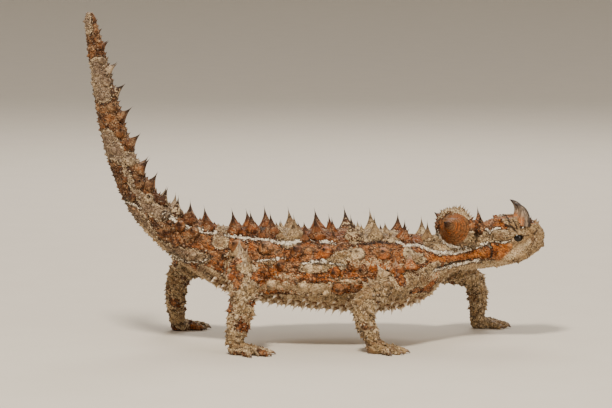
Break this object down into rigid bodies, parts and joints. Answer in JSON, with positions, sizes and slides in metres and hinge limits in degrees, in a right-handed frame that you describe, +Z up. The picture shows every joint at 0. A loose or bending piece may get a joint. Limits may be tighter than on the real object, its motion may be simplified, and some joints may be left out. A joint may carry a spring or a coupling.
{
  "type": "thorny devil",
  "caption": "Still life-size model of a thorny devil, a squat spiny lizard standing on four short legs with a knob on its nape and its thorny tail raised upright.",
  "frame": {"origin": "on the floor under the middle of the model's outline seen from above", "axes": "+X towards the snout, +Y towards the animal's left side, +Z up"},
  "size_m": [0.1382, 0.069, 0.0992],
  "materials": {
    "rust_hide": "rough scaly hide, chestnut red",
    "grey_hide": "rough scaly hide, grey brown",
    "horn": "dull horn",
    "eye": "wet gloss"
  },
  "bodies": {
    "root": {"head": "grey_hide", "eye_right": "eye", "eye_left": "eye", "horn_right": "horn", "horn_left": "horn", "neck": "grey_hide", "nape_knob": "rust_hide", "torso": "rust_hide", "tail_root": "rust_hide", "tail_middle": "grey_hide", "tail_tip": "grey_hide", "upper_arm_right": "grey_hide", "upper_arm_left": "grey_hide", "forearm_right": "grey_hide", "forearm_left": "grey_hide", "hand_right": "grey_hide", "hand_left": "grey_hide", "thigh_right": "grey_hide", "thigh_left": "grey_hide", "shin_right": "grey_hide", "shin_left": "grey_hide", "foot_right": "grey_hide", "foot_left": "grey_hide"}
  },
  "joints": []
}
